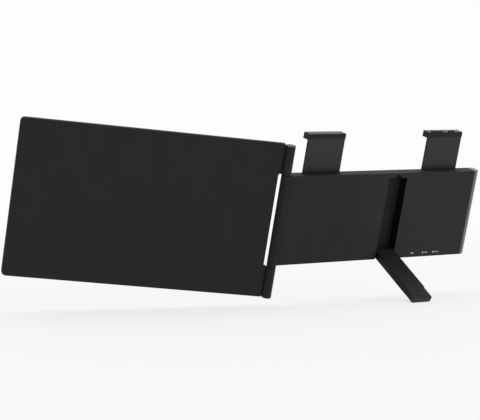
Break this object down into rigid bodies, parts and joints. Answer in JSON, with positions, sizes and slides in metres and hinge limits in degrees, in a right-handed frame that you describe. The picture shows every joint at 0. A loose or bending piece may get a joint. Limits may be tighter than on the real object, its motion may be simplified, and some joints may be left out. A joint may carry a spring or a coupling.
{
  "type": "portable monitor",
  "caption": "Second screen on a hinge, carried by a flat base unit that hooks over an open laptop lid and stands on a folding prop leg.",
  "frame": {"origin": "on the base unit's front face, the face that lies against the laptop lid, near its centre", "axes": "+Z is true vertical when in use, +X runs along the base away from the screen hinge, +Y points from the rear towards the user. The base leans back by 15 degrees."},
  "size_m": [0.6974, 0.2533, 0.2638],
  "materials": {
    "cover_plastic": "fine matt, dark grey",
    "end_cap_plastic": "satin, mid grey",
    "bezel_plastic": "matt black",
    "lcd": "anti-glare black, picture off",
    "backlight_plastic": "milky white sheet",
    "board": "green solder mask",
    "chip": "black moulded",
    "led": "pale yellow",
    "flex": "amber film",
    "cable": "black jacket",
    "plate_steel": "plain steel",
    "screw_steel": "black zinc",
    "pin_steel": "ground",
    "knuckle_metal": "dark grey paint",
    "cap_metal": "dark grey paint",
    "sleeve": "natural acetal",
    "port_metal": "nickel plated",
    "rail_plastic": "black moulded",
    "arm_metal": "dark anodised",
    "head_plastic": "fine matt, dark grey",
    "pad_rubber": "black",
    "inset": "dark, smooth",
    "leg_plastic": "matt, near black",
    "button_plastic": "matt, near black"
  },
  "bodies": {
    "base": {"base_rear_cover": "cover_plastic", "base_end_cap": "end_cap_plastic", "base_front_cover": "cover_plastic", "cover_screws": "screw_steel", "grip_pads": "pad_rubber", "control_board": "board", "board_chips": "chip", "board_screws": "screw_steel", "type_c_ports": "port_metal", "mini_video_port": "port_metal", "button_board": "board", "button_switches": "chip", "display_ribbon": "flex", "arm_guide_rails": "rail_plastic", "spring_blocks": "rail_plastic", "arm_leaf_springs": "plate_steel", "hinge_sleeve_lower": "sleeve", "hinge_sleeve_upper": "sleeve", "leg_pin": "pin_steel", "hinge_cable_base": "cable"},
    "screen": {"panel_rear_cover": "cover_plastic", "screen_bezel": "bezel_plastic", "module_screws": "screw_steel", "display_back_plate": "plate_steel", "reflector_sheet": "backlight_plastic", "light_guide_plate": "backlight_plastic", "led_strip": "led", "diffuser_sheets": "backlight_plastic", "lcd_glass": "lcd", "display_driver_board": "board", "driver_flexes": "flex", "hinge_knuckle_lower": "knuckle_metal", "hinge_knuckle_upper": "knuckle_metal", "knuckle_cap_lower": "cap_metal", "knuckle_cap_upper": "cap_metal", "hinge_rivets": "plate_steel", "hinge_pin_lower": "pin_steel", "hinge_pin_upper": "pin_steel", "hinge_washers": "plate_steel", "hinge_nuts": "plate_steel", "hinge_thrust_washers": "rail_plastic", "hinge_cable_panel": "cable"},
    "left_hook": {"arm_plate_left": "arm_metal", "hook_head_left": "head_plastic", "hook_pad_left": "pad_rubber", "hook_screws_left": "screw_steel"},
    "right_hook": {"arm_plate_right": "arm_metal", "hook_head_right": "head_plastic", "hook_pad_right": "pad_rubber", "hook_screws_right": "screw_steel", "hook_top_insets": "inset"},
    "leg": {"leg_outer_shell": "leg_plastic", "leg_inner_shell": "leg_plastic", "leg_screws": "screw_steel", "leg_foot": "pad_rubber", "leg_bushes": "sleeve"},
    "power_key": {"power_button": "button_plastic"},
    "plus_key": {"plus_button": "button_plastic"},
    "minus_key": {"minus_button": "button_plastic"}
  },
  "joints": [
    {"name": "panel_hinge", "type": "hinge", "parent": "base", "child": "screen", "pos_m": [-0.1742, -0.0112, -0.00497], "axis": [0, -0.2588, 0.9659], "range_deg": [-50, 163]},
    {"name": "left_hook_slide", "type": "slide", "parent": "base", "child": "left_hook", "axis": [0, -0.2588, 0.9659], "range_m": [-0.045, 0.025]},
    {"name": "right_hook_slide", "type": "slide", "parent": "base", "child": "right_hook", "axis": [0, -0.2588, 0.9659], "range_m": [-0.045, 0.025]},
    {"name": "leg_hinge", "type": "hinge", "parent": "base", "child": "leg", "pos_m": [0.0249, 0.00181, -0.05739], "axis": [1, 0, 0], "range_deg": [-110.9, 9]},
    {"name": "power_press", "type": "slide", "parent": "base", "child": "power_key", "axis": [-1, 0, 0], "range_m": [0, 0.0006], "stiffness_N_per_m": 2000, "springref_m": -0.0001},
    {"name": "plus_press", "type": "slide", "parent": "base", "child": "plus_key", "axis": [-1, 0, 0], "range_m": [0, 0.0006], "stiffness_N_per_m": 2000, "springref_m": -0.0001},
    {"name": "minus_press", "type": "slide", "parent": "base", "child": "minus_key", "axis": [-1, 0, 0], "range_m": [0, 0.0006], "stiffness_N_per_m": 2000, "springref_m": -0.0001}
  ]
}
